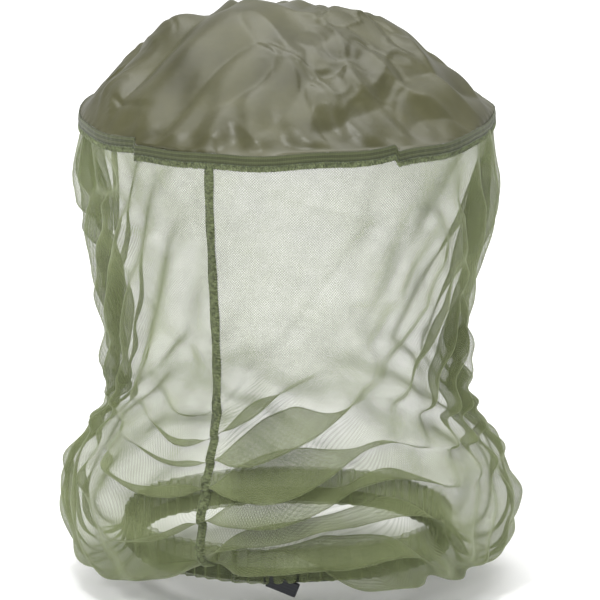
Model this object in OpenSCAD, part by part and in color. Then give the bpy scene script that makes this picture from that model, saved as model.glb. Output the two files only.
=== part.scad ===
// Pull-on head veil: a gathered cloth crown, a long net skirt and an elastic neck hem.
// +Z is up. The origin is the top of the crown on its inner face, where it sits on the head,
// so the veil hangs below the origin. -Y is the front, the side where the pull loop hangs.

/* [Crown] */
// Radius of the crown at its rim, to the outer face
rim_r = 125; // [105:1:150]
// Height of the crown, from its rim to its top
crown_h = 66; // [50:1:85]
// Thickness of the crown cloth
crown_t = 1; // [0.8:0.1:1.4]
// Lean of the crown from an ellipse towards a cone
crown_peak = 0.38; // [0:0.02:0.5]

/* [Rim band] */
// Height of the smooth strip turned down at the rim
band_h = 5.5; // [4:0.5:8]
// Height of the overlocked raw edge below the strip
overlock_h = 3.5; // [2:0.5:5]
// Thickness of the overlocking thread over the cloth
overlock_t = 0.5; // [0.3:0.1:1]
// Number of topstitches round the rim
rim_stitches = 120; // [60:4:160]
// Length of one topstitch
stitch_l = 4; // [2:0.5:5]

/* [Veil] */
// Thickness of the net
net_t = 0.8; // [0.6:0.1:1]
// Height from the rim down to the bottom edge of the hem
veil_drop = 270; // [230:5:330]
// Radius of the net at its waist, where it hangs in below the face
waist_r = 105; // [102:1:115]
// Radius of the blouse, where the spare net falls over the hem
blouse_r = 137; // [125:1:155]
// How much less the net blouses out at the front
front_tuck = 22; // [0:1:25]
// Height of the waist above the top of the hem
waist_up = 90; // [60:5:120]
// Height of the widest part of the blouse above the bottom of the hem
blouse_up = 30; // [26:1:40]
// How far the blouse falls below the bottom of the hem
blouse_sag = 3; // [0:1:8]

/* [Side seam] */
// Bearing of the seam from the front, towards -X
seam_bearing = 22; // [10:1:60]
// Width of the overlocked seam
seam_w = 5.5; // [4:0.5:8]
// Thickness of the overlocked seam
seam_t = 1.2; // [0.8:0.1:2]

/* [Neck hem] */
// Inner radius of the neck opening
neck_r = 93; // [76:1:96]
// Height of the turned-up casing
casing_h = 22; // [16:1:26]
// Thickness of each casing wall, one layer of net and its turning
casing_t = 0.6; // [0.5:0.1:1]
// Number of stitches that close the casing
hem_stitches = 96; // [48:4:120]

/* [Elastic] */
// Width of the flat elastic
elastic_w = 9; // [7:0.5:11]
// Thickness of the flat elastic
elastic_t = 1; // [0.8:0.1:1.2]
// Length over which the two ends of the elastic overlap
lap_l = 20; // [15:1:30]
// Number of zigzag stitches through the overlap
lap_stitches = 5; // [3:1:7]

/* [Pull loop] */
// Length of the slit in the casing that the loop comes out of
loop_w = 22; // [18:1:28]
// Drop of the loop below the hem
loop_drop = 9; // [7:0.5:14]
// Place of the loop's middle along X
loop_x = -4; // [-8:1:8]

/* [Hidden] */
$fn = 96;
thread_d = 0.5;      // sewing thread, as a round cord
fit = 0.3;           // room between pieces that move apart, and round the elastic
touch = 0.02;        // room between pieces that are sewn face to face
rim_z = -crown_h;
band_z = rim_z - band_h;
overlock_z = band_z - overlock_h;
hem_z = rim_z - veil_drop;
hem_top = hem_z + casing_h;
hem_r = neck_r + 2 * casing_t + 2 * elastic_t + thread_d + 2 * fit;
elastic_r = neck_r + casing_t + fit / 2;
elastic_z = hem_z + casing_t + fit;
net_top_r = rim_r - crown_t - touch - net_t / 2;
net_foot_r = hem_r + thread_d + touch + fit + net_t / 2;
net_top_z = rim_z - touch;
waist_z = hem_top + waist_up;
front_foot = 4;      // fall of the front of the blouse below the top of the hem
loop_t = 2 * elastic_t + fit;
loop_y = -(neck_r + hem_r) / 2;
loop_z = hem_z - fit - loop_t / 2;
loop_reach = loop_drop - fit - loop_t / 2;
dome_steps = 28;
net_steps = 24;
net_columns = 44;

// Half profile of the crown, from its top to the rim; r and h are the rim radius and height.
function dome(r, h) = [for (i = [0 : dome_steps]) let (a = 90 * i / dome_steps)
    [r * sin(a), -h * ((1 - crown_peak) * (1 - cos(a)) + crown_peak * a / 90)]];

// How far a bearing, in degrees from the front, belongs to the tucked-in front: 1 to 0.
function front(b) = pow(max(0, cos(1.5 * b)), 2);
function blouse_at(b) = blouse_r - front_tuck * front(b);
function foot_at(b) = (hem_r + blouse_at(b)) / 2;
function fall_at(b) = let (side = hem_z - blouse_sag) side + (hem_top - front_foot - side) * front(b);
function widest_at(b) = hem_z + blouse_up + (casing_h / 2) * front(b);

// A smooth step from one point of a half profile to another, with upright ends.
function eased(p, q, u) = [p[0] + (q[0] - p[0]) * (1 - cos(180 * u)) / 2, p[1] + (q[1] - p[1]) * u];

// The middle of the net at a bearing: u runs 0 rim, 1 waist, 2 widest, 3 lowest, 4 top of the hem.
function net_point(b, u) =
    let (waist = [waist_r, waist_z], wide = [blouse_at(b), widest_at(b)], foot = [foot_at(b), fall_at(b)])
    u < 1 ? eased([net_top_r, net_top_z], waist, u) :
    u < 2 ? eased(waist, wide, u - 1) :
    u < 3 ? let (t = 90 * (u - 2))
        [foot[0] + (wide[0] - foot[0]) * cos(t), wide[1] - (wide[1] - foot[1]) * sin(t)] :
    let (t = 90 * (u - 3))
        [foot[0] - (foot[0] - net_foot_r) * sin(t), hem_top - (hem_top - foot[1]) * cos(t)];

function backwards(p) = [for (i = [len(p) - 1 : -1 : 0]) p[i]];
function along(p, i) = let (d = p[min(i + 1, len(p) - 1)] - p[max(i - 1, 0)]) d / norm(d);
function shifted(p, by) = [for (i = [0 : len(p) - 1]) p[i] + by * [-along(p, i)[1], along(p, i)[0]]];

// The outline of a wall cut at one bearing: it lies between two distances outside the net's middle.
function wall_cut(b, u0, u1, inside, outside) =
    let (line = [for (i = [0 : net_steps]) net_point(b, u0 + (u1 - u0) * i / net_steps)])
    [for (p = concat(shifted(line, outside), backwards(shifted(line, inside))))
        [p[0] * sin(b), -p[0] * cos(b), p[1]]];

// A wall that follows the net between two bearings, or all the way round.
module net_wall(b0, b1, columns, u0, u1, inside, outside) {
    round_trip = b1 - b0 >= 360;
    rings = round_trip ? columns : columns + 1;
    n = 2 * (net_steps + 1);
    cuts = [for (j = [0 : rings - 1]) wall_cut(b0 + (b1 - b0) * j / columns, u0, u1, inside, outside)];
    sides = [for (j = [0 : columns - 1], i = [0 : n - 1])
        let (k = (j + 1) % rings, h = (i + 1) % n)
        each [[j * n + i, k * n + i, k * n + h], [j * n + i, k * n + h, j * n + h]]];
    first = [for (i = [0 : net_steps - 1]) each [[i, i + 1, n - 2 - i], [i, n - 2 - i, n - 1 - i]]];
    last = [for (t = first) [for (v = backwards(t)) columns * n + v]];
    polyhedron([for (c = cuts) each c], round_trip ? sides : concat(sides, first, last), convexity = 10);
}

module tube(r_in, r_out, z_low, z_high) {
    rotate_extrude() translate([r_in, z_low]) square([r_out - r_in, z_high - z_low]);
}

// Short straight threads set round a circle, just clear of the cloth below them.
module ring_of_stitches(count, r, z, l) {
    for (i = [0 : count - 1]) rotate(360 * i / count)
        translate([r + thread_d / 2 + touch, 0, z]) rotate([90, 0, 0])
            cylinder(d = thread_d, h = l, center = true, $fn = 16);
}

function arc_of(l, r) = l / r * 180 / PI;

module crown_panel() {
    color("darkkhaki") rotate_extrude()
        polygon(concat(
            dome(rim_r - crown_t, crown_h),
            [[rim_r, rim_z]],
            backwards([for (p = dome(rim_r, crown_h)) p + [0, crown_t * (1 + p[1] / crown_h)]])));
}

module crown_band() {
    color("olivedrab") tube(rim_r - crown_t, rim_r, band_z, rim_z - touch);
}

module crown_overlock() {
    color("darkolivegreen")
        tube(rim_r - crown_t, rim_r + overlock_t, overlock_z, band_z - touch);
}

module crown_topstitch() {
    color("darkslategray")
        ring_of_stitches(rim_stitches, rim_r, band_z + thread_d, stitch_l);
}

module veil_net() {
    color("darkseagreen") net_wall(-180, 180, net_columns, 0, 4, -net_t / 2, net_t / 2);
}

module side_seam() {
    half = arc_of(seam_w, rim_r) / 2;
    top = (overlock_z - fit - net_top_z) / (waist_z - net_top_z);
    low = net_t / 2 + 5 * touch;
    color("olive") net_wall(-seam_bearing - half, -seam_bearing + half, 2, top, 3, low, low + seam_t);
}

module hem_casing() {
    color("darkolivegreen") difference() {
        tube(neck_r, hem_r, hem_z, hem_top);
        tube(neck_r + casing_t, hem_r - casing_t, hem_z + casing_t, hem_top - casing_t);
        translate([loop_x - loop_w / 2, loop_y - loop_t / 2, hem_z - casing_t])
            cube([loop_w, loop_t, 2 * casing_t + fit]);
    }
}

module hem_seam_end() {
    turn = arc_of(seam_w, hem_r);
    color("olive") rotate(-90 - seam_bearing - turn / 2) rotate_extrude(angle = turn)
        translate([hem_r + touch, hem_z + casing_t]) square([seam_t, casing_h / 2]);
}

module hem_stitching() {
    color("darkslategray")
        ring_of_stitches(hem_stitches, hem_r, hem_top - casing_t - thread_d, stitch_l);
}

module neck_elastic() {
    turn = arc_of(lap_l, neck_r);
    color("black") translate([0, 0, elastic_z]) {
        tube(elastic_r, elastic_r + elastic_t, 0, elastic_w);
        rotate(90 - turn / 2) rotate_extrude(angle = turn)
            translate([elastic_r + elastic_t - touch, 0]) square([elastic_t, elastic_w]);
    }
}

module elastic_join_stitch() {
    turn = arc_of(lap_l, neck_r) / (lap_stitches + 1);
    color("dimgray") for (i = [1 : lap_stitches])
        rotate(90 + turn * (i - (lap_stitches + 1) / 2))
            translate([elastic_r + 2 * elastic_t + thread_d / 2 + touch, 0, elastic_z + thread_d])
                cylinder(d = thread_d, h = elastic_w - 2 * thread_d, $fn = 16);
}

module pull_loop() {
    half = loop_w / 2;
    color("midnightblue") translate([loop_x, loop_y, loop_z]) {
        rotate([90, 0, 0]) linear_extrude(loop_t, center = true)
            polygon([[-half, 0], [half, 0], [half, -loop_reach / 2], [half / 4, -loop_reach]]);
        rotate([0, 90, 0]) cylinder(d = loop_t, h = loop_w, center = true);
    }
}

module loop_bartack() {
    color("black") for (side = [-1, 1], k = [-1 : 1])
        rotate(arc_of(loop_x + side * (loop_w / 2 - 2 * thread_d) + k * thread_d, hem_r) - 90)
            translate([hem_r + thread_d / 2 + touch, 0, hem_z + thread_d])
                cylinder(d = thread_d - touch, h = elastic_w / 2, $fn = 16);
}

crown_panel();
crown_band();
crown_overlock();
crown_topstitch();
veil_net();
side_seam();
hem_casing();
hem_seam_end();
hem_stitching();
neck_elastic();
elastic_join_stitch();
pull_loop();
loop_bartack();
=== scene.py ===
import math

import bmesh
import bpy
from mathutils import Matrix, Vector, noise


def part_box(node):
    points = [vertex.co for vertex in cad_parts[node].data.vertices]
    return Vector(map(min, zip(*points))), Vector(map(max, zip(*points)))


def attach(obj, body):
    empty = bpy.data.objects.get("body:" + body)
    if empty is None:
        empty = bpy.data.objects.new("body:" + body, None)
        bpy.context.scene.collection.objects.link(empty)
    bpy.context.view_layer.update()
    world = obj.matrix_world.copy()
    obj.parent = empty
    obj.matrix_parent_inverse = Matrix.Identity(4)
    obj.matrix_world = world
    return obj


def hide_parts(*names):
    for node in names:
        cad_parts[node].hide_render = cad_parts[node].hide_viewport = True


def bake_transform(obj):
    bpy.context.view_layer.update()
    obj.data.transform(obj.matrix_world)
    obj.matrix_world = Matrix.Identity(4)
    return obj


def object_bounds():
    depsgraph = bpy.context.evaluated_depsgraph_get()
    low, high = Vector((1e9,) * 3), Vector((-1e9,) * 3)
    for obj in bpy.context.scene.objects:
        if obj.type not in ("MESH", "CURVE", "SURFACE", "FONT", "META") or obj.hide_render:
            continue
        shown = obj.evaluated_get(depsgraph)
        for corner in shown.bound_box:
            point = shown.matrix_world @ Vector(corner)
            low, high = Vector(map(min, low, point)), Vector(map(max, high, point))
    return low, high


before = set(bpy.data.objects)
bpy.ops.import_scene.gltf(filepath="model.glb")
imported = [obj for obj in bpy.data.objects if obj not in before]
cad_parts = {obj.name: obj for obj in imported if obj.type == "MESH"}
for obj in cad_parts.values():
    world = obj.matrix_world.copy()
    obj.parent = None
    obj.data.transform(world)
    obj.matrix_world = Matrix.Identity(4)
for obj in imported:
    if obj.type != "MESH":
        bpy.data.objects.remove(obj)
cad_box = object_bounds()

MM = 0.001
TAU = 2 * math.pi

# Places and sizes from the frame
RIM_R, RIM_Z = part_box("crown_panel")[1][0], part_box("crown_panel")[0][2]
CROWN_H = -RIM_Z
BAND_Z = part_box("crown_band")[0][2]
OVERLOCK_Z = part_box("crown_overlock")[0][2]
HEM_Z, HEM_TOP, HEM_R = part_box("hem_casing")[0][2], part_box("hem_casing")[1][2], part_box("hem_casing")[1][0]
ELASTIC_LOW, ELASTIC_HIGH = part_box("neck_elastic")[0][2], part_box("neck_elastic")[1][2]
ELASTIC_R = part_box("neck_elastic")[1][0]
BLOUSE_R, FALL_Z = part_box("veil_net")[1][0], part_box("veil_net")[0][2]
LOOP_LOW, LOOP_HIGH = Vector(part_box("pull_loop")[0]), Vector(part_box("pull_loop")[1])
SEAM_BEARING = math.radians(-22)
OVERLOCK_PITCH = 1.9 * MM
CHAIN_R = 0.3 * MM

# The net as it is cut, before it is gathered on to the rim and the hem
NET_ROUND = 0.94
NET_LENGTH = 0.385
NET_SLACK_TOP = 1.0
NET_TWIST = math.radians(-4)
NET_CROWD = 0.13
NET_START = SEAM_BEARING / (1 + 2 * NET_CROWD) * 1.014
NET_PITCH = 1.2 * MM
FOLD_SPAN = 36 * MM
DRAPE_SPAN = 44 * MM
WAIST_R, WAIST_Z = 0.105, HEM_TOP + 0.090
FRONT_TUCK = 0.022
FRONT_FALL = HEM_TOP - 0.004


# ---------------------------------------------------------------- making tools

def link(name, mesh):
    piece = bpy.data.objects.new(name, mesh)
    bpy.context.scene.collection.objects.link(piece)
    return piece


def smooth(mesh):
    for face in mesh.polygons:
        face.use_smooth = True


def cloth(name, cols, rows, place, size, wrap=False):
    """A sheet of cloth: a grid whose point (u, v) goes to place(u, v). Its UV map is in metres."""
    bm = bmesh.new()
    bmesh.ops.create_grid(bm, x_segments=cols, y_segments=rows, size=1, calc_uvs=True)
    uv = bm.loops.layers.uv.verify()
    spot = bm.verts.layers.float_vector.new("spot")
    for v in bm.verts:
        v[spot] = ((v.co.x + 1) / 2, (1 - v.co.y) / 2, 0)
    for face in bm.faces:
        for loop in face.loops:
            loop[uv].uv = (loop.vert[spot].x * size[0], loop.vert[spot].y * size[1])
    for v in bm.verts:
        v.co = place(v[spot].x, v[spot].y)
    if wrap:
        bmesh.ops.remove_doubles(bm, verts=bm.verts, dist=1e-6)
    mesh = bpy.data.meshes.new(name)
    bm.to_mesh(mesh)
    bm.free()
    smooth(mesh)
    return link(name, mesh)


def spots(mesh):
    return [Vector(p.vector) for p in mesh.attributes["spot"].data]


def threads(name, lines, radius, closed=False):
    """Round threads along lists of points, as one mesh."""
    curve = bpy.data.curves.new(name, "CURVE")
    curve.dimensions = "3D"
    curve.bevel_depth = radius
    curve.bevel_resolution = 1
    curve.use_fill_caps = not closed
    for line in lines:
        spline = curve.splines.new("POLY")
        spline.points.add(len(line) - 1)
        for point, co in zip(spline.points, line):
            point.co = (*co, 1)
        spline.use_cyclic_u = closed
    drawn = link(name + "_line", curve)
    mesh = bpy.data.meshes.new_from_object(drawn.evaluated_get(bpy.context.evaluated_depsgraph_get()))
    bpy.data.objects.remove(drawn)
    mesh.name = name
    smooth(mesh)
    return link(name, mesh)


def joined(name, *parts):
    bm = bmesh.new()
    for part in parts:
        bm.from_mesh(part.data)
    mesh = bpy.data.meshes.new(name)
    bm.to_mesh(mesh)
    bm.free()
    for part in parts:
        bpy.data.objects.remove(part)
    smooth(mesh)
    return link(name, mesh)


def thicken(piece, thickness, offset=0):
    wall = piece.modifiers.new("thickness", "SOLIDIFY")
    wall.thickness = thickness
    wall.offset = offset


def finer(piece, levels=1):
    sub = piece.modifiers.new("finer", "SUBSURF")
    sub.levels = levels
    sub.render_levels = levels


def settle(piece, worn, weights, frames, mass, bend, tension, pin, gravity, compression=None):
    """Cloth simulation: the sheet starts as it is worn, pulls to the lengths it was cut to, and is kept."""
    mesh = piece.data
    cut = piece.shape_key_add(name="cut")
    key = piece.shape_key_add(name="worn")
    for point, co in zip(key.data, worn):
        point.co = co
    key.value = 1
    group = piece.vertex_groups.new(name="held")
    for i, weight in enumerate(weights):
        group.add([i], weight, "REPLACE")
    solver = piece.modifiers.new("cloth", "CLOTH")
    s = solver.settings
    s.vertex_group_mass = "held"
    s.rest_shape_key = cut
    s.pin_stiffness = pin
    s.quality = 5
    s.mass = mass
    s.tension_stiffness = tension
    s.compression_stiffness = compression or tension * 0.7
    s.shear_stiffness = tension / 3
    s.bending_stiffness = bend
    s.tension_damping = s.compression_damping = s.shear_damping = 2
    s.bending_damping = 0.2
    s.air_damping = 1
    s.effector_weights.gravity = gravity
    solver.collision_settings.use_collision = False
    solver.point_cache.frame_start = 1
    solver.point_cache.frame_end = frames
    scene = bpy.context.scene
    scene.frame_start, scene.frame_end = 1, frames
    for f in range(1, frames + 1):
        scene.frame_set(f)
    done = bpy.data.meshes.new_from_object(piece.evaluated_get(bpy.context.evaluated_depsgraph_get()))
    name = piece.name
    bpy.data.objects.remove(piece)
    bpy.data.meshes.remove(mesh)
    scene.frame_set(1)
    done.name = name
    smooth(done)
    return link(name, done)


def round_z(bearing, r, z):
    """The point at a bearing from the front, towards +X, at a radius and height."""
    return Vector((r * math.sin(bearing), -r * math.cos(bearing), z))


def unwound(bearing):
    return (bearing + math.pi) % TAU - math.pi


# ---------------------------------------------------------------- materials

class Paint:
    """A material under construction: its nodes, with short ways to add and join them."""

    def __init__(self, name):
        self.mat = bpy.data.materials.new(name)
        self.mat.use_nodes = True
        self.tree = self.mat.node_tree
        self.tree.nodes.clear()
        self.out = self.add("ShaderNodeOutputMaterial")
        self.skin = self.add("ShaderNodeBsdfPrincipled")
        self.join(self.skin.outputs[0], self.out.inputs[0])

    def add(self, kind, **values):
        node = self.tree.nodes.new(kind)
        for key, value in values.items():
            if hasattr(node, key):
                setattr(node, key, value)
            else:
                node.inputs[key.replace("_", " ")].default_value = value
        return node

    def join(self, source, target):
        self.tree.links.new(source, target)

    def places(self, uv=False):
        return self.add("ShaderNodeTexCoord").outputs["UV" if uv else "Object"]

    def grain(self, places, scale, detail=3.0, rough=0.6):
        node = self.add("ShaderNodeTexNoise", Scale=scale, Detail=detail, Roughness=rough)
        self.join(places, node.inputs["Vector"])
        return node.outputs["Fac"]

    def bands(self, places, scale, direction="X"):
        node = self.add("ShaderNodeTexWave", bands_direction=direction, Scale=scale)
        self.join(places, node.inputs["Vector"])
        return node.outputs["Fac"]

    def maths(self, operation, a, b):
        node = self.add("ShaderNodeMath", operation=operation)
        for socket, value in zip(node.inputs, (a, b)):
            if isinstance(value, (int, float)):
                socket.default_value = value
            else:
                self.join(value, socket)
        return node.outputs[0]

    def ramp(self, factor, stops):
        node = self.add("ShaderNodeValToRGB")
        marks = node.color_ramp.elements
        while len(marks) < len(stops):
            marks.new(0.5)
        for mark, (place, colour) in zip(marks, stops):
            mark.position = place
            mark.color = (*colour, 1)
        self.join(factor, node.inputs[0])
        return node.outputs[0]

    def between(self, factor, low, high):
        node = self.add("ShaderNodeMapRange", To_Min=low, To_Max=high)
        self.join(factor, node.inputs["Value"])
        return node.outputs[0]

    def bump(self, height, strength, depth):
        node = self.add("ShaderNodeBump", Strength=strength, Distance=depth)
        self.join(height, node.inputs["Height"])
        self.join(node.outputs[0], self.skin.inputs["Normal"])


def satin_cloth():
    """Light olive nylon taffeta with a soft shine, a close weave and worn-in tonal patches."""
    p = Paint("olive_satin_nylon")
    uv = p.places(uv=True)
    patches = p.grain(p.places(), 26, 4)
    weave = p.maths("ADD", p.bands(uv, 900, "X"), p.bands(uv, 900, "Y"))
    tone = p.maths("ADD", p.maths("MULTIPLY", patches, 0.9), p.maths("MULTIPLY", weave, 0.05))
    colour = p.ramp(tone, [(0.25, (0.034, 0.033, 0.011)), (0.5, (0.054, 0.053, 0.020)),
                           (0.75, (0.076, 0.074, 0.031))])
    p.join(colour, p.skin.inputs["Base Color"])
    p.join(p.between(patches, 0.3, 0.4), p.skin.inputs["Roughness"])
    p.skin.inputs["Specular IOR Level"].default_value = 0.42
    p.skin.inputs["Sheen Weight"].default_value = 0.02
    p.skin.inputs["Sheen Roughness"].default_value = 0.35
    p.skin.inputs["Anisotropic"].default_value = 0.5
    crinkle = p.maths("ADD", p.maths("MULTIPLY", weave, 0.04), p.grain(p.places(), 190, 5, 0.65))
    p.bump(crinkle, 0.14, 0.0009)
    return p.mat


def net_binding():
    """The binding of folded net round the rim: close olive mesh with faint rows of stitching along it."""
    p = Paint("olive_net_binding")
    uv = p.places(uv=True)
    mesh = p.maths("MULTIPLY", p.bands(uv, 260, "X"), p.bands(uv, 260, "Y"))
    rows = p.bands(uv, 105, "Y")
    wear = p.grain(p.places(), 60, 3)
    lines = p.maths("MULTIPLY", p.maths("ADD", rows, wear), 0.35)
    tone = p.maths("ADD", p.maths("MULTIPLY", mesh, 0.35), lines)
    colour = p.ramp(tone, [(0.2, (0.030, 0.036, 0.012)), (0.8, (0.085, 0.098, 0.040))])
    p.join(colour, p.skin.inputs["Base Color"])
    p.skin.inputs["Roughness"].default_value = 0.7
    p.skin.inputs["Sheen Weight"].default_value = 0.15
    p.skin.inputs["Specular IOR Level"].default_value = 0.3
    p.bump(p.maths("ADD", rows, mesh), 0.6, 0.0004)
    return p.mat


def netting(name, cover, edge_cover, dark, light):
    """Fine tulle: a lattice of threads with open cells, closer where it is seen edge-on."""
    p = Paint(name)
    uv = p.places(uv=True)
    turned = p.add("ShaderNodeMapping", Rotation=(0, 0, math.radians(45)))
    p.join(uv, turned.inputs["Vector"])
    scale = 1 / NET_PITCH / TAU * 2
    slant = turned.outputs[0]
    lattice = p.maths("MAXIMUM", p.bands(slant, scale, "X"), p.bands(slant, scale, "Y"))
    mottle = p.grain(uv, 120, 3)
    edge = p.add("ShaderNodeLayerWeight", Blend=0.36).outputs["Facing"]
    closeness = p.between(edge, cover, edge_cover)
    thread = p.between(p.maths("MULTIPLY", lattice, lattice), 0.72, 1.22)
    alpha = p.maths("MULTIPLY", closeness, p.maths("MULTIPLY", thread, p.between(mottle, 0.85, 1.15)))
    colour = p.ramp(p.grain(p.places(), 34, 3), [(0.3, dark), (0.7, light)])
    p.join(colour, p.skin.inputs["Base Color"])
    p.skin.inputs["Roughness"].default_value = 0.62
    p.skin.inputs["Sheen Weight"].default_value = 0.15
    p.skin.inputs["Specular IOR Level"].default_value = 0.3
    clear = p.add("ShaderNodeBsdfTransparent")
    mix = p.add("ShaderNodeMixShader")
    p.join(alpha, mix.inputs[0])
    p.join(clear.outputs[0], mix.inputs[1])
    p.join(p.skin.outputs[0], mix.inputs[2])
    p.join(mix.outputs[0], p.out.inputs[0])
    return p.mat


def spun_thread(name, dark, light, rough=0.85):
    """Spun polyester thread: fuzzy and dull, lighter where its fibres stand up."""
    p = Paint(name)
    fuzz = p.grain(p.places(), 2600, 2)
    broad = p.grain(p.places(), 90, 2)
    lumps = p.grain(p.places(), 520, 2)
    fibres = p.maths("MULTIPLY", p.maths("ADD", fuzz, broad), 0.2)
    mixed = p.maths("ADD", p.maths("MULTIPLY", lumps, 0.6), fibres)
    colour = p.ramp(mixed, [(0.38, dark), (0.62, light)])
    p.join(colour, p.skin.inputs["Base Color"])
    p.skin.inputs["Roughness"].default_value = rough
    p.skin.inputs["Sheen Weight"].default_value = 0.3
    p.skin.inputs["Specular IOR Level"].default_value = 0.25
    p.bump(fuzz, 0.5, 0.0003)
    return p.mat


def woven_elastic():
    """Flat black elastic: ribs along its length, crossed by a close weft."""
    p = Paint("black_elastic_webbing")
    uv = p.places(uv=True)
    ribs = p.bands(uv, 180, "Y")
    weft = p.bands(uv, 420, "X")
    lint = p.grain(p.places(), 700, 3)
    weave = p.maths("ADD", p.maths("MULTIPLY", ribs, 0.6), p.maths("MULTIPLY", weft, 0.4))
    tone = p.maths("ADD", p.maths("MULTIPLY", weave, 0.5), p.maths("MULTIPLY", lint, 0.5))
    colour = p.ramp(tone, [(0.25, (0.003, 0.004, 0.006)), (0.8, (0.014, 0.017, 0.024))])
    p.join(colour, p.skin.inputs["Base Color"])
    p.skin.inputs["Roughness"].default_value = 0.6
    p.skin.inputs["Sheen Weight"].default_value = 0.04
    p.bump(weave, 0.7, 0.0003)
    return p.mat


SATIN = satin_cloth()
BINDING = net_binding()
NET = netting("olive_tulle", cover=0.38, edge_cover=1.08,
              dark=(0.112, 0.134, 0.050), light=(0.180, 0.212, 0.092))
HEM_NET = netting("olive_tulle_doubled", cover=0.42, edge_cover=1.0,
                  dark=(0.115, 0.140, 0.052), light=(0.185, 0.220, 0.090))
SEAM_THREAD = spun_thread("olive_overlock_thread", (0.040, 0.050, 0.018), (0.190, 0.225, 0.105))
DARK_THREAD = spun_thread("dark_sewing_thread", (0.030, 0.038, 0.022), (0.080, 0.095, 0.055))
ELASTIC = woven_elastic()


def finish_piece(piece, material, body=None, stands_for=()):
    piece.data.materials.clear()
    piece.data.materials.append(material)
    if body:
        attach(piece, body)
    if stands_for:
        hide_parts(*stands_for)


# ---------------------------------------------------------------- the rim

PLEATS = [math.radians(-47), math.radians(31)]


def rim_wave(b):
    """How far the rim strays outwards and upwards at a bearing."""
    out = 1.1 * math.sin(3 * b + 0.6) + 0.7 * math.sin(7 * b + 2)
    up = 1.3 * math.sin(2 * b + 1.1) + 0.9 * math.sin(5 * b + 0.4) + 0.5 * math.sin(13 * b)
    return out * MM, up * MM


def pleat(b):
    """The overlap at each pleat: crossing it to the right, the rim steps outwards and down."""
    out = up = 0
    for at in PLEATS:
        gap = unwound(b - at) * RIM_R
        if abs(gap) < 60 * MM:
            side = max(-1, min(1, gap / (0.7 * MM)))
            out += 0.8 * MM * side * math.exp(-abs(gap) / (9 * MM))
            up -= 2.3 * MM * side * math.exp(-abs(gap) / (13 * MM))
    return out, up


def on_rim(b, out, z):
    dr, dz = rim_wave(b)
    step_out, step_up = pleat(b)
    return round_z(b, RIM_R + dr + out + step_out, z + dz + step_up)


def rim_band():
    def place(u, v):
        b = u * TAU
        ripple = 0.35 * MM * noise.noise(Vector((math.sin(b) * 40, math.cos(b) * 40, v * 1.5)))
        curl = 0.5 * MM * math.sin(math.pi * v)
        return on_rim(b, 0.3 * MM + curl + ripple, RIM_Z + 1.0 * MM + (BAND_Z - RIM_Z - 1.5 * MM) * v)

    piece = cloth("crown_band_strip", 900, 6, place, (NET_ROUND, 0.008), wrap=True)
    thicken(piece, 0.5 * MM)
    finish_piece(piece, BINDING, "crown", ["crown_band"])
    return piece


def overlock(place, length):
    """Overlock stitching along a raw edge: the line of its loops, and the line of the chain beside them.
    place(s, t, h) gives a point s along, t across from -1 to 1, and h out of the cloth."""
    count = int(length / OVERLOCK_PITCH)
    turn = [(0.0, -1.0, 0.2), (0.18, -0.45, 0.75), (0.34, 0.15, 0.95), (0.48, 0.75, 0.85),
            (0.56, 1.04, 0.2), (0.62, 0.8, 0.55), (0.72, 0.1, 0.7), (0.84, -0.6, 0.6)]
    line = []
    for k in range(count):
        wobble = 0.22 * noise.noise(Vector((k * 0.7, 3.1, 0.4)))
        for ds, t, h in turn:
            reach = t * (1 + 0.12 * noise.noise(Vector((k * 1.3, t * 2, 7.7))))
            line.append(place((k + ds + wobble) * length / count, reach, h))
    edge = []
    for i in range(count * 2 + 1):
        edge.append(place(length * i / (count * 2), -0.98 + 0.05 * math.sin(i * 2.1), 0.55))
    return line, edge


def rim_overlock():
    mid = (BAND_Z + OVERLOCK_Z) / 2 + 0.2 * MM
    half = (BAND_Z - OVERLOCK_Z) / 2
    length = TAU * RIM_R

    def place(s, t, h):
        b = s / RIM_R
        fray = 0.35 * MM * noise.noise(Vector((math.sin(b) * 55, math.cos(b) * 55, 2.0)))
        return on_rim(b, (0.1 + h * 0.95) * MM, mid - t * half + fray * (t > 0))

    line, edge = overlock(place, length)
    loops = threads("rim_loops", [line], 0.34 * MM, closed=True)
    chain = threads("rim_chain", [edge], CHAIN_R)

    def strip(u, v):
        return place(u * length, 1.9 * v - 0.95, 0.05 + 0.35 * math.sin(math.pi * v))

    base = cloth("rim_base", 720, 4, strip, (length, 0.004), wrap=True)
    piece = joined("crown_overlock_edge", base, loops, chain)
    finish_piece(piece, SEAM_THREAD, "crown", ["crown_overlock"])


def stitch_row(name, place, length, pitch, stitch, radius):
    """Running stitches, each dipping into the cloth at its ends."""
    count = int(length / pitch)
    lines = []
    for k in range(count):
        s = (k + 0.12 * noise.noise(Vector((k * 0.9, 5, 1)))) * length / count
        lines.append([place(s + stitch * t, h) for t, h in
                      ((0, -0.5), (0.12, 0.35), (0.5, 0.6), (0.88, 0.35), (1, -0.5))])
    return threads(name, lines, radius)


def rim_topstitch():
    z = BAND_Z + 0.45 * MM

    def place(s, h):
        b = s / RIM_R
        return on_rim(b, (0.75 + h * 0.4) * MM, z + 0.15 * MM * math.sin(b * 40))

    piece = stitch_row("crown_topstitch_line", place, TAU * RIM_R,
                       pitch=3.0 * MM, stitch=2.4 * MM, radius=0.24 * MM)
    finish_piece(piece, DARK_THREAD, "crown", ["crown_topstitch"])


# ---------------------------------------------------------------- the crown

CROWN_GRID = 130
CROWN_CUT_R = 0.150
CROWN_SPARE = 1.022
PEAK_SHIFT = Vector((-11 * MM, 4 * MM, 0))


def disc(u, v):
    """A square grid laid on a disc: radius 0 to 1, and bearing."""
    x, y = 2 * u - 1, 1 - 2 * v
    dx, dy = x * math.sqrt(1 - y * y / 2), y * math.sqrt(1 - x * x / 2)
    return math.hypot(dx, dy), math.atan2(dx, -dy)


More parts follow.
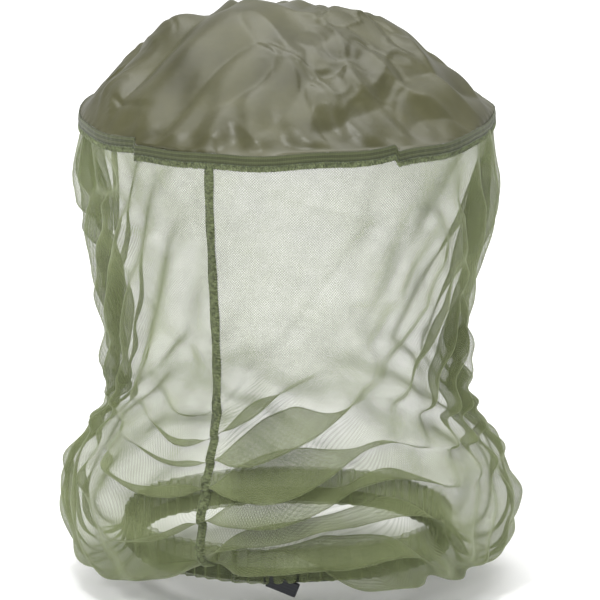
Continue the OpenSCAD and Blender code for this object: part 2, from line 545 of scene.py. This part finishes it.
def dome(rho, b):
    """The crown as it sits on a head: a low tent with its peak a little to one side."""
    fall = 0.9 * rho ** 2.45 + 0.1 * rho
    p = round_z(b, (RIM_R - 0.6 * MM) * rho, -(CROWN_H - 3 * MM) * fall - 2.2 * MM)
    return p + PEAK_SHIFT * (1 - rho * rho)


def ridge(n):
    return max(0, 1 - abs(n) * 11)


def crown():
    def slack(u, v):
        rho, b = disc(u, v)
        return dome(rho, b) * CROWN_SPARE

    cut_width = 2 * CROWN_CUT_R
    piece = cloth("crown_cloth", CROWN_GRID, CROWN_GRID, slack, (cut_width, cut_width))
    worn, weights = [], []
    for spot in spots(piece.data):
        rho, b = disc(spot.x, spot.y)
        p = dome(rho, b)
        if rho > 0.999:
            p = on_rim(b, 0.2 * MM * math.sin(90 * b), RIM_Z + 0.9 * MM)
            weights.append(1.0)
        else:
            near = (1 - rho ** 6) * (0.25 + 0.75 * rho)
            broad = noise.noise(p * 12 + Vector((1, 4, 2)))
            slanted = abs(noise.noise(Vector((p.x * 23 + p.y * 14, p.y * 9 - p.x * 8, 3.3))))
            counter = abs(noise.noise(Vector((p.x * 17 - p.y * 15, p.y * 12 + p.x * 6, 8.1))))
            patch = max(0, 0.35 + 1.8 * noise.noise(p * 8 + Vector((4, 4, 9))))
            inward = 1 - rho
            gather = math.sin(27 * b + 6 * broad) * min(1, inward / 0.05) * math.exp(-inward / 0.13) * patch
            p += Vector((0, 0, (4 * broad + 26 * (0.17 - slanted) + 26 * (counter - 0.17)) * MM * near))
            p += round_z(b, 2.4 * MM * gather, 2.4 * MM * gather)
            weights.append(0.42)
        worn.append(p)
    piece = settle(piece, worn, weights, frames=16, mass=0.01, bend=3.0, tension=15, pin=5, gravity=0.3)
    piece.data.update()
    sides = [v.normal.copy() for v in piece.data.vertices]
    for v, side, spot in zip(piece.data.vertices, sides, spots(piece.data)):
        rho, b = disc(spot.x, spot.y)
        q = Vector((v.co.x * 20 + v.co.y * 9, v.co.y * 12 - v.co.x * 5, v.co.z * 12 + 2))
        where = max(0, 0.3 + 2 * noise.noise(v.co * 15))
        crease = ridge(noise.noise(q)) - ridge(noise.noise(Vector((q.y, q.x, q.z)) * 1.6))
        crease += 0.6 * ridge(noise.noise(v.co * 48)) * where
        crease *= where
        v.co += side * crease * 1.7 * MM * (1 - rho ** 8)
    finer(piece)
    finish_piece(piece, SATIN, "crown", ["crown_panel"])


# ---------------------------------------------------------------- the net

NET_COLS, NET_ROWS = 210, 92


def front(b):
    return max(0, math.cos(1.5 * unwound(b))) ** 2 if abs(unwound(b)) < math.pi / 3 else 0


def ruffle(b):
    """The gathers that the elastic makes in the hem, from -1 to 1."""
    q = Vector((math.sin(b) * 3, math.cos(b) * 3, 0))
    return math.sin(72 * b + 5 * noise.noise(q)) * (0.85 + 0.4 * noise.noise(q * 3))


def step(p, q, u):
    ease = (1 - math.cos(math.pi * u)) / 2
    return Vector((p[0] + (q[0] - p[0]) * ease, p[1] + (q[1] - p[1]) * u))


def net_line(b, steps=20):
    """The net's half profile at a bearing: rim, waist, widest, lowest, then in and up to the hem."""
    f = front(b)
    wide = (BLOUSE_R - FRONT_TUCK * f, HEM_Z + 30 * MM + 11 * MM * f)
    foot = ((HEM_R + wide[0]) / 2, FALL_Z + (FRONT_FALL - FALL_Z) * f)
    top, waist = (RIM_R - 1.4 * MM, RIM_Z), (WAIST_R, WAIST_Z)
    line = [step(top, waist, k / steps) for k in range(steps)]
    line += [step(waist, wide, k / steps) for k in range(steps)]
    for k in range(steps):
        t = math.pi / 2 * k / steps
        line.append(Vector((foot[0] + (wide[0] - foot[0]) * math.cos(t),
                            wide[1] - (wide[1] - foot[1]) * math.sin(t))))
    for k in range(steps + 1):
        t = math.pi / 2 * k / steps
        line.append(Vector((foot[0] - (foot[0] - HEM_R - 0.8 * MM) * math.sin(t),
                            HEM_TOP - (HEM_TOP - foot[1]) * math.cos(t))))
    return line, steps


def on_net_line(line, steps, v):
    """The point a share v down the cut net: no slack above the waist, all of it below."""
    runs = [0]
    for p, q in zip(line, line[1:]):
        runs.append(runs[-1] + (q - p).length)
    upper = runs[steps]
    share = upper * NET_SLACK_TOP / NET_LENGTH
    s = v / share * upper if v < share else upper + (v - share) / (1 - share) * (runs[-1] - upper)
    for k in range(len(line) - 1):
        if s <= runs[k + 1] + 1e-9:
            return line[k].lerp(line[k + 1], (s - runs[k]) / (runs[k + 1] - runs[k]))
    return line[-1]


def net_bearing(u):
    """Where a column of the net hangs: spread out at the front and back, gathered at the sides."""
    turn = NET_START + u * TAU
    return turn + NET_CROWD * math.sin(2 * turn)


def fold_depth(span, slack):
    """The depth of a wave, span long, that takes up a slack given as cut length over worn length."""
    return span / math.pi * math.sqrt(max(0, slack - 1))


def net_goal(u, v, lines):
    b0 = net_bearing(u)
    b = b0 + NET_TWIST * v
    key = round(u * NET_COLS) % NET_COLS
    if key not in lines:
        line, steps = net_line(b0)
        upper = sum((q - p).length for p, q in zip(line[:steps], line[1:steps + 1]))
        lower = sum((q - p).length for p, q in zip(line[steps:], line[steps + 1:]))
        lines[key] = line, steps, (NET_LENGTH - upper * NET_SLACK_TOP) / lower
    line, steps, spare = lines[key]
    r, z = on_net_line(line, steps, v)
    if v < 1e-6:
        return on_rim(b0, -1.4 * MM, RIM_Z - 0.5 * MM)
    if v > 1 - 1e-6:
        return round_z(b, r + 1.0 * MM * ruffle(b), z)
    q = round_z(b, r, z)
    broad = noise.noise(q * 9 + Vector((3, 7, 1)))
    middle = noise.noise(q * 17 + Vector((6, 2, 5)))
    slow = noise.noise(q * 6 + Vector((8, 1, 4)))
    fine = noise.noise(q * 34 + Vector((13, 2, 9)))
    round_slack = NET_ROUND / (r * TAU * (1 + 2 * NET_CROWD * math.cos(2 * (NET_START + u * TAU))))
    facing = max(0, math.cos(1.1 * unwound(b)))
    calm = 1 - 0.7 * math.exp(-(min(u, 1 - u) * NET_ROUND / 0.009) ** 2)
    ends = min(1, 9 * v, 9 * (1 - v)) * calm
    count = round(NET_ROUND / FOLD_SPAN)
    fall = TAU * (RIM_Z - z) / FOLD_SPAN
    rightward = math.sin(count * u * TAU + 0.8 * fall + 6 * broad + 2 * middle)
    leftward = math.sin(count * u * TAU - 0.8 * fall + 6 * broad - 2 * middle + 2)
    share = min(1, max(0, 0.5 + 5 * slow))
    upright = (rightward * share + leftward * (1 - share)) * (1 - 0.95 * math.cos(b) ** 4)
    low = min(1, max(0, (v - 0.34) / 0.18))
    swing = 4 * math.sin(2 * b + 0.4) + 11 * broad + 5 * middle
    across = math.sin(TAU * NET_LENGTH * v / DRAPE_SPAN + swing) * (0.4 + 0.65 * facing)
    strength = min(1.15, 0.45 + 1.6 * abs(noise.noise(q * 12 + Vector((1, 9, 3)))))
    out = upright * fold_depth(FOLD_SPAN, round_slack) * (1 - 0.35 * low) * strength
    drape = across * fold_depth(DRAPE_SPAN, spare) * low * strength
    long_crease = ridge(noise.noise(Vector((q.x * 9 + q.z * 17, 4 + q.y * 3, q.z * 5 - q.x * 4))))
    counter_crease = ridge(noise.noise(Vector((q.x * 13 - q.z * 10, 9 + q.y * 3, q.z * 5 + q.x * 5))))
    r += (out + drape + (4.5 - 2 * facing) * MM * fine) * ends
    r += (4 * long_crease - 3 * counter_crease) * MM * facing * (1 - low) * ends
    z += (-1.1 * drape * facing + 2.0 * MM * fine) * ends
    return round_z(b, r, z)


def veil():
    cut_r = NET_ROUND / TAU

    def cut(u, v):
        p = round_z(u * TAU, cut_r, RIM_Z - NET_LENGTH * v)
        held = v < 1e-6 or v > 1 - 1e-6
        return p if held else p + noise.noise_vector(p * 60) * 3 * MM

    piece = cloth("veil_netting", NET_COLS, NET_ROWS, cut, (NET_ROUND, NET_LENGTH), wrap=True)
    lines, worn, weights = {}, [], []
    for spot in spots(piece.data):
        u, v = spot.x, spot.y
        worn.append(net_goal(u, v, lines))
        b = unwound(net_bearing(u))
        facing = math.cos(b) ** 4
        upper = 1 - min(1, max(0, (v - 0.4) / 0.15))
        weight = 0.17 + 0.05 * facing * upper
        if min(u, 1 - u) < 1.4 / NET_COLS:
            weight = 0.24
        weights.append(1.0 if v < 1e-6 or v > 1 - 1e-6 else weight)
    piece = settle(piece, worn, weights, frames=32, mass=0.01, bend=2, tension=15, pin=5, gravity=0.8,
                   compression=10)
    return piece


def net_blend(piece):
    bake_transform(piece)


def evened(line):
    """A line of points or directions, each weighted with its neighbours; the two ends stay."""
    middle = [(a + b * 2 + c) / 4 for a, b, c in zip(line, line[1:], line[2:])]
    return [line[0]] + middle + [line[-1]]


def seam_path(net):
    """Points and outward directions down the join where the net's two edges meet, evened out."""
    column = []
    for v, spot in zip(net.data.vertices, spots(net.data)):
        if min(spot.x, 1 - spot.x) < 0.2 / NET_COLS:
            column.append((spot.y, v.co.copy(), v.normal.copy()))
    column.sort(key=lambda c: c[0])
    points = [c[1] for c in column]
    sides = [c[2] if c[2].dot(Vector((c[1].x, c[1].y, 0))) > 0 or c[0] > 0.85 else -c[2] for c in column]
    for _ in range(3):
        sides = [side.normalized() for side in evened(sides)]
    points = evened(points)
    keep = [i for i, p in enumerate(points) if p.z < OVERLOCK_Z + 1.5 * MM]
    return points[keep[0]:-1], sides[keep[0]:-1]


def side_seam(net):
    points, sides = seam_path(net)
    runs = [0]
    for p, q in zip(points, points[1:]):
        runs.append(runs[-1] + (q - p).length)
    length = runs[-1]
    half = 2.6 * MM

    def place(s, t, h):
        s = min(max(s, 0), length - 1e-7)
        k = max(i for i in range(len(runs) - 1) if runs[i] <= s)
        f = (s - runs[k]) / max(runs[k + 1] - runs[k], 1e-9)
        p, out = points[k].lerp(points[k + 1], f), sides[k].lerp(sides[k + 1], f).normalized()
        before, after = points[max(k - 1, 0)], points[min(k + 2, len(points) - 1)]
        down = (after - before).normalized()
        across = out.cross(down).normalized()
        out = down.cross(across).normalized()
        swell = 1 + 0.08 * math.sin(s * 210) + 0.06 * math.sin(s * 91)
        return p + across * (t * half * swell) + out * ((0.35 + h * 0.95) * MM)

    line, edge = overlock(place, length)
    loops = threads("seam_loops", [line], 0.36 * MM)
    chain = threads("seam_chain", [edge], CHAIN_R)

    def strip(u, v):
        return place(v * length, 1.9 * u - 0.95, 0.1 + 0.4 * math.sin(math.pi * u))

    base = cloth("seam_base", 4, 160, strip, (0.005, length))
    thicken_now(base, 0.5 * MM)
    piece = joined("side_seam_overlock", base, loops, chain)
    finish_piece(piece, SEAM_THREAD, None, ["side_seam"])
    net_blend(piece)


def thicken_now(piece, thickness):
    """Gives an open strip its thickness in the mesh itself."""
    bm = bmesh.new()
    bm.from_mesh(piece.data)
    bmesh.ops.solidify(bm, geom=bm.faces[:], thickness=thickness)
    bm.to_mesh(piece.data)
    bm.free()


# ---------------------------------------------------------------- the hem

def on_hem(b, out, z):
    """A point on the gathered casing: out is 1 on its outer wall and 0 on its inner one."""
    inner = ELASTIC_R - 3.3 * MM
    depth = (0.5 + 0.5 * out) * (0.7 + 0.3 * (z - HEM_Z) / (HEM_TOP - HEM_Z))
    wave = (2.9 - 0.8 * max(0, math.cos(b))) * MM * ruffle(b) * depth
    droop = 0.9 * MM * math.sin(3 * b + 1) + 0.5 * MM * math.sin(8 * b)
    return round_z(b, inner + (HEM_R - inner) * out + wave, z + droop)


def hem_casing():
    height = HEM_TOP - HEM_Z

    def place(u, v):
        b = u * TAU
        if v < 0.42:
            out, z = 1, HEM_TOP - (height - 1.5 * MM) * v / 0.42
        elif v > 0.58:
            out, z = 0, HEM_TOP - (height - 1.5 * MM) * (1 - v) / 0.42
        else:
            t = (v - 0.42) / 0.16 * math.pi
            out, z = 0.5 + 0.5 * math.cos(t), HEM_Z + 1.5 * MM - 1.5 * MM * math.sin(t)
        return on_hem(b, out, z)

    piece = cloth("hem_casing_netting", 620, 26, place, (NET_ROUND, 2 * height + 0.008), wrap=True)
    finish_piece(piece, HEM_NET, "hem", ["hem_casing"])


def hem_stitching():
    def place(s, h):
        on_cloth = on_hem(s / HEM_R, 1, HEM_TOP - 1.4 * MM)
        p = on_cloth * (1 + 0.004 * (0.6 + h))
        p.z = on_cloth.z
        return p

    piece = stitch_row("hem_stitch_line", place, TAU * HEM_R,
                       pitch=2.4 * MM, stitch=1.9 * MM, radius=0.2 * MM)
    finish_piece(piece, SEAM_THREAD, "hem", ["hem_stitching"])


def hem_seam_end():
    length = HEM_TOP - HEM_Z - 1 * MM

    def place(s, t, h):
        b = SEAM_BEARING + math.radians(3) + t * 2.4 * MM / HEM_R
        p = on_hem(b, 1, HEM_TOP - 0.5 * MM - s)
        out = Vector((p.x, p.y, 0)).normalized()
        return p + out * ((0.3 + 0.8 * h) * MM)

    line, edge = overlock(place, length)
    loops = threads("end_loops", [line], 0.36 * MM)
    chain = threads("end_chain", [edge], CHAIN_R)
    piece = joined("hem_seam_overlock_end", loops, chain)
    finish_piece(piece, SEAM_THREAD, "hem", ["hem_seam_end"])


def strap_ring(name, r, low, high, thick, ribs=9):
    """A flat ribbed strap bent into a ring, spun from its cut end."""
    bm = bmesh.new()
    outline = []
    steps = ribs * 4
    for k in range(steps + 1):
        z = low + (high - low) * k / steps
        rib = 0.12 * MM * math.cos(TAU * k / 4)
        end = min(k, steps - k)
        outline.append((r + (thick / 2 + rib) * min(1, end / 2), z))
    outline += [(2 * r - x, z) for x, z in reversed(outline[1:-1])]
    verts = [bm.verts.new((x, 0, z)) for x, z in outline]
    edges = [bm.edges.new((a, b)) for a, b in zip(verts, verts[1:] + verts[:1])]
    bmesh.ops.spin(bm, geom=verts + edges, cent=(0, 0, 0), axis=(0, 0, 1), angle=TAU, steps=240,
                   use_merge=True)
    bmesh.ops.recalc_face_normals(bm, faces=bm.faces)
    uv = bm.loops.layers.uv.verify()
    for face in bm.faces:
        middle = face.calc_center_median()
        for loop in face.loops:
            co = loop.vert.co
            near = math.atan2(middle.y, middle.x)
            turn = math.atan2(co.y, co.x)
            turn += TAU * round((near - turn) / TAU)
            loop[uv].uv = (turn * r, co.z - low)
    mesh = bpy.data.meshes.new(name)
    bm.to_mesh(mesh)
    bm.free()
    smooth(mesh)
    return link(name, mesh)


def neck_elastic():
    r = ELASTIC_R - 0.8 * MM
    band = strap_ring("band", r, ELASTIC_LOW, ELASTIC_HIGH, thick=0.8 * MM)

    def lapped(u, v):
        z = ELASTIC_LOW + 0.2 * MM + (ELASTIC_HIGH - ELASTIC_LOW - 0.4 * MM) * (1 - v)
        return round_z(math.pi + (u - 0.5) * 20 * MM / r, r + 0.8 * MM, z)

    lap = cloth("lap", 40, 18, lapped, (0.02, 0.009))
    thicken_now(lap, 0.6 * MM)
    piece = joined("neck_elastic_band", band, lap)
    finish_piece(piece, ELASTIC, "hem", ["neck_elastic"])


def elastic_join_stitch():
    r = ELASTIC_R + 0.6 * MM
    points = []
    for k in range(26):
        b = math.pi + (k / 25 - 0.5) * 17 * MM / r
        z = ELASTIC_LOW + 1 * MM if k % 2 else ELASTIC_HIGH - 1 * MM
        points.append(round_z(b, r, z))
    piece = threads("elastic_join_zigzag", [points], 0.25 * MM)
    finish_piece(piece, DARK_THREAD, "hem", ["elastic_join_stitch"])


# ---------------------------------------------------------------- the pull loop

def pull_loop():
    """The folded tail of the elastic: out of the slit, down to the right, round its fold and back in."""
    middle = (LOOP_LOW + LOOP_HIGH) / 2
    root = Vector((middle.x - 8 * MM, middle.y, HEM_Z + 3.0 * MM))
    tip = Vector((middle.x + 8.2 * MM, middle.y, HEM_Z - 3.4 * MM))
    along = (tip - root).normalized()
    up = Vector((-along.z, 0, along.x))
    half = 4.2 * MM
    fold = 1.25 * MM
    run = (tip - root).length

    def place(u, v):
        straight = run / (2 * run + math.pi * fold)
        if u < straight:
            p, q = root + along * (u / straight * run), -fold
        elif u > 1 - straight:
            p, q = root + along * ((1 - u) / straight * run), fold
        else:
            t = (u - straight) / (1 - 2 * straight) * math.pi
            p, q = tip + along * (fold * math.sin(t)), -fold * math.cos(t)
        pinch = min(1, 0.35 + (p - root).length / run)
        wave = 0.35 * MM * math.sin(u * 9)
        return p + up * (half * (1 - 2 * v)) + Vector((0, q * pinch + wave, 0))

    piece = cloth("pull_loop_strap", 60, 20, place, (0.045, 0.0085))
    for vert, spot in zip(piece.data.vertices, spots(piece.data)):
        vert.co += Vector((0, -0.12 * MM * math.cos(TAU * spot.y * 5), 0))
    thicken(piece, 0.8 * MM)
    finish_piece(piece, ELASTIC, None, ["pull_loop"])
    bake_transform(piece)


def loop_bartack():
    lines = []
    for side in (LOOP_LOW.x + 1 * MM, LOOP_HIGH.x - 1 * MM):
        line = []
        for k in range(30):
            b = side / HEM_R + (0.7 * MM if k % 2 else -0.7 * MM) / HEM_R
            z = HEM_Z + 0.8 * MM + k * 0.16 * MM
            p = on_hem(b, 1, z)
            line.append(p + Vector((p.x, p.y, 0)).normalized() * 0.35 * MM)
        lines.append(line)
    piece = threads("loop_bartack_bars", lines, 0.17 * MM)
    finish_piece(piece, DARK_THREAD, "hem", ["loop_bartack"])


# ---------------------------------------------------------------- the room

def pale_floor():
    bm = bmesh.new()
    bmesh.ops.create_grid(bm, x_segments=1, y_segments=1, size=6)
    mesh = bpy.data.meshes.new("floor")
    bm.to_mesh(mesh)
    bm.free()
    floor = link("floor", mesh)
    for v in mesh.vertices:
        v.co.z = cad_box[0][2] - 0.012
    p = Paint("white_floor")
    p.skin.inputs["Base Color"].default_value = (0.93, 0.93, 0.93, 1)
    p.skin.inputs["Roughness"].default_value = 0.9
    mesh.materials.append(p.mat)


def lamp(name, place, aim, size, power):
    light = bpy.data.lights.new(name, "AREA")
    light.size = size
    light.energy = power
    obj = bpy.data.objects.new(name, light)
    bpy.context.scene.collection.objects.link(obj)
    obj.location = place
    obj.rotation_euler = (Vector(aim) - Vector(place)).to_track_quat("-Z", "Y").to_euler()


def studio():
    world = bpy.data.worlds.new("studio")
    bpy.context.scene.world = world
    world.use_nodes = True
    world.node_tree.nodes["Background"].inputs[0].default_value = (1, 1, 1, 1)
    world.node_tree.nodes["Background"].inputs[1].default_value = 0.62
    lamp("overhead", (0.1, 0.9, 2.4), (0, 0.6, -0.3), size=3.0, power=85)
    lamp("key", (-1.1, -1.5, 1.0), (0, 0, -0.12), size=0.45, power=18)
    lamp("strip", (-0.35, -0.75, 1.5), (0, 0, -0.05), size=0.3, power=12)
    lamp("fill", (1.4, -1.2, 0.4), (0, 0, -0.2), size=1.0, power=7)


def camera():
    view = bpy.data.cameras.new("camera")
    obj = bpy.data.objects.new("camera", view)
    bpy.context.scene.collection.objects.link(obj)
    aim = Vector((0.0072, 0, -0.1835))
    rise, away, half_view = math.radians(14), 6.0, 0.182
    obj.location = aim + Vector((0, -away * math.cos(rise), away * math.sin(rise)))
    obj.rotation_euler = (aim - obj.location).to_track_quat("-Z", "Y").to_euler()
    view.angle = 2 * math.atan(half_view / away)
    bpy.context.scene.camera = obj


camera()
studio()
pale_floor()
rim_band()
rim_overlock()
rim_topstitch()
crown()
net = veil()
side_seam(net)
finer(net)
finish_piece(net, NET, None, ["veil_net"])
net_blend(net)
hem_casing()
hem_stitching()
hem_seam_end()
neck_elastic()
elastic_join_stitch()
pull_loop()
loop_bartack()

scene = bpy.context.scene
scene.view_settings.view_transform = "Standard"
scene.cycles.transparent_max_bounces = 48
